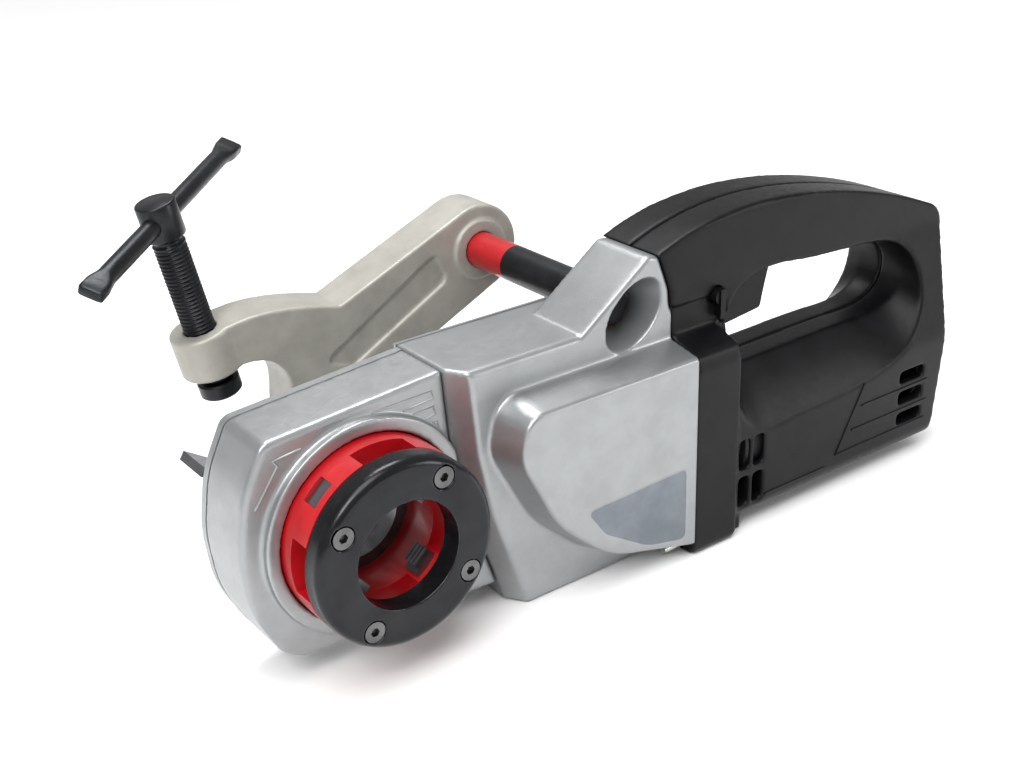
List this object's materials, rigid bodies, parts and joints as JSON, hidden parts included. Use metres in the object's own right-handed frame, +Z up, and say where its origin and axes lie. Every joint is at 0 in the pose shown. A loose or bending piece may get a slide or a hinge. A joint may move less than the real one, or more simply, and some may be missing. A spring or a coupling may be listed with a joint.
{
  "type": "pipe threading machine",
  "caption": "Portable electric pipe threading machine: die head in a cast gear case, D-handle motor housing, and a sliding support arm with a screw clamp that grips the pipe.",
  "frame": {"origin": "on the pipe axis, inside the pipe guide bush, in the middle of the gear case", "axes": "+Y along the pipe from the die head to the support arm, +X along the machine to the handle's rear, +Z up"},
  "size_m": [0.4567, 0.2145, 0.1995],
  "materials": {
    "black_steel": "satin black oxide",
    "bright_steel": "bright zinc",
    "red_paint": "semi-gloss signal red",
    "tool_steel": "ground",
    "gear_steel": "machined",
    "bearing_steel": "ground",
    "bronze": "machined",
    "brass": "machined",
    "silver_paint": "satin silver paint on a casting",
    "raw_aluminium": "as cast",
    "plate_aluminium": "matt anodised",
    "lamination_steel": "stacked sheets",
    "copper_wire": "varnished",
    "copper_bar": "turned",
    "grey_plastic": "matt",
    "black_plastic": "fine texture",
    "black_rubber": "matt",
    "carbon": "matt",
    "grey_paint": "satin warm grey paint on a casting"
  },
  "bodies": {
    "housing": {"drive_bush_front": "bronze", "drive_bush_rear": "bronze", "gear_case": "silver_paint", "case_cover": "silver_paint", "case_cover_screws": "bright_steel", "gearbox_body": "silver_paint", "gearbox_cover": "silver_paint", "gearbox_cover_screws": "bright_steel", "name_plate": "plate_aluminium", "rod_bushes": "bronze", "lay_bearing_front": "bearing_steel", "lay_bearing_rear": "bearing_steel", "mid_bearing_front": "bearing_steel", "mid_bearing_rear": "bearing_steel", "motor_flange": "raw_aluminium", "armature_bearing_front": "bearing_steel", "armature_bearing_rear": "bearing_steel", "stator_core": "lamination_steel", "field_coils": "copper_wire", "brush_holders": "brass", "carbon_brushes": "carbon", "brush_springs": "bright_steel", "handle_shell_front": "black_plastic", "handle_shell_rear": "black_plastic", "handle_screws": "bright_steel", "housing_screws": "bright_steel", "switch_module": "grey_plastic", "trigger_pin": "bright_steel", "cable_gland": "black_rubber"},
    "die_drive": {"die_head_cover": "black_steel", "die_head_screws": "bright_steel", "die_head_body": "red_paint", "chaser_1": "tool_steel", "chaser_2": "tool_steel", "chaser_3": "tool_steel", "chaser_4": "tool_steel", "pipe_guide": "tool_steel", "drive_gear": "gear_steel"},
    "lay_shaft_set": {"lay_shaft": "gear_steel", "lay_gear": "gear_steel"},
    "mid_shaft_set": {"mid_shaft": "gear_steel", "bevel_wheel": "gear_steel"},
    "armature": {"armature_shaft": "gear_steel", "armature_core": "lamination_steel", "armature_windings": "copper_wire", "commutator": "copper_bar", "cooling_fan": "grey_plastic", "bevel_pinion": "gear_steel"},
    "arm": {"support_arm": "grey_paint", "arm_set_screw": "black_steel", "torque_rod": "black_steel", "rod_mark_sleeve": "red_paint", "jaw_insert": "tool_steel"},
    "pad": {"pressure_pad": "black_steel"},
    "clamp_spindle": {"clamp_screw": "black_steel"},
    "cross_bar": {"t_bar": "black_steel"},
    "trigger": {"trigger": "black_plastic"},
    "direction_lever": {"direction_lever": "black_plastic"}
  },
  "joints": [
    {"name": "die_head_spin", "type": "hinge", "parent": "housing", "child": "die_drive", "pos_m": [0, 0, 0], "axis": [0, 1, 0], "continuous": true},
    {"name": "lay_shaft_spin", "type": "hinge", "parent": "housing", "child": "lay_shaft_set", "pos_m": [0.05419, 0, -0.012], "axis": [0, 1, 0], "continuous": true},
    {"name": "mid_shaft_spin", "type": "hinge", "parent": "housing", "child": "mid_shaft_set", "pos_m": [0.08773, 0, -0.022], "axis": [0, 1, 0], "continuous": true},
    {"name": "armature_spin", "type": "hinge", "parent": "housing", "child": "armature", "pos_m": [0.2, -0.01, -0.022], "axis": [1, 0, 0], "continuous": true},
    {"name": "arm_slide", "type": "slide", "parent": "housing", "child": "arm", "axis": [0, 1, 0], "range_m": [-0.055, 0.01]},
    {"name": "clamp_travel", "type": "slide", "parent": "arm", "child": "pad", "axis": [-0.2079, 0, 0.9781], "range_m": [-0.014, 0.0025]},
    {"name": "clamp_turn", "type": "hinge", "parent": "pad", "child": "clamp_spindle", "pos_m": [0, 0.11, 0], "axis": [-0.2079, 0, 0.9781], "range_deg": [-2520, 450]},
    {"name": "cross_bar_slide", "type": "slide", "parent": "clamp_spindle", "child": "cross_bar", "axis": [0.7708, 0.6157, 0.1638], "range_m": [-0.0607, 0.0475]},
    {"name": "trigger_squeeze", "type": "hinge", "parent": "housing", "child": "trigger", "pos_m": [0.21, -0.0075, 0.07], "axis": [0, -1, 0], "range_deg": [0, 8], "stiffness_Nm_per_rad": 1.4, "springref_deg": -2.86},
    {"name": "direction_switch", "type": "hinge", "parent": "housing", "child": "direction_lever", "pos_m": [0.197, -0.026, 0.06], "axis": [0, 1, 0], "range_deg": [-12, 12]}
  ],
  "couplings": [
    {"joint": "lay_shaft_spin", "follows": "die_head_spin", "ratio": -4.2857},
    {"joint": "mid_shaft_spin", "follows": "die_head_spin", "ratio": 7.7143},
    {"joint": "armature_spin", "follows": "die_head_spin", "ratio": -27.771},
    {"joint": "clamp_turn", "follows": "clamp_travel", "rad_per_m": 3141.6}
  ]
}
